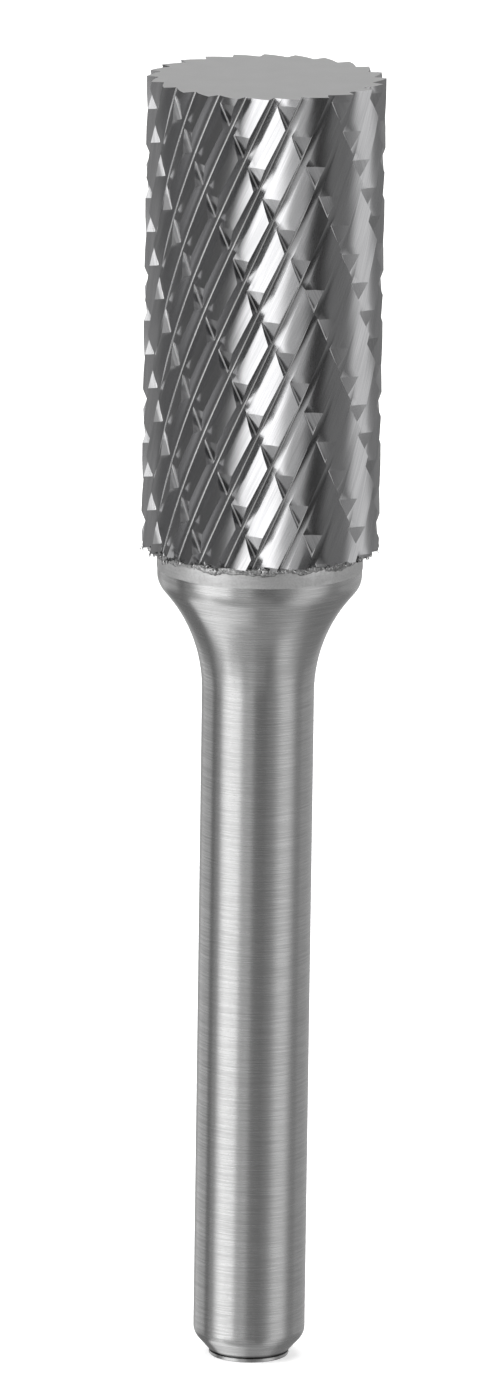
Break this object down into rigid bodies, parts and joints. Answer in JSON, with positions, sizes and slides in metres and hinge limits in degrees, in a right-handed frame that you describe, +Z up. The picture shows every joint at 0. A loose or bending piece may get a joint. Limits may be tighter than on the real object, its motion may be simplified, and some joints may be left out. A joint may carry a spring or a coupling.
{
  "type": "carbide burr",
  "caption": "Cylindrical double-cut carbide burr: a toothed head with a flat end, brazed to a flared steel shank with a plain round grip for a collet.",
  "frame": {"origin": "centre of the small foot at the shank's end, which the burr stands on", "axes": "+Z up the burr's axis, from the shank to the flat end of the cutting head"},
  "size_m": [0.0126, 0.0126, 0.07],
  "materials": {
    "ground_carbide": "ground tungsten carbide, bright grey, with fine grinding lines along the teeth and a matt end face",
    "braze_metal": "pale braze metal, rough where the flutes run out into it",
    "turned_steel": "steel turned and polished round the axis, with fine ring scratches"
  },
  "bodies": {
    "root": {"carbide_head": "ground_carbide", "braze_joint": "braze_metal", "steel_shank": "turned_steel"}
  },
  "joints": []
}
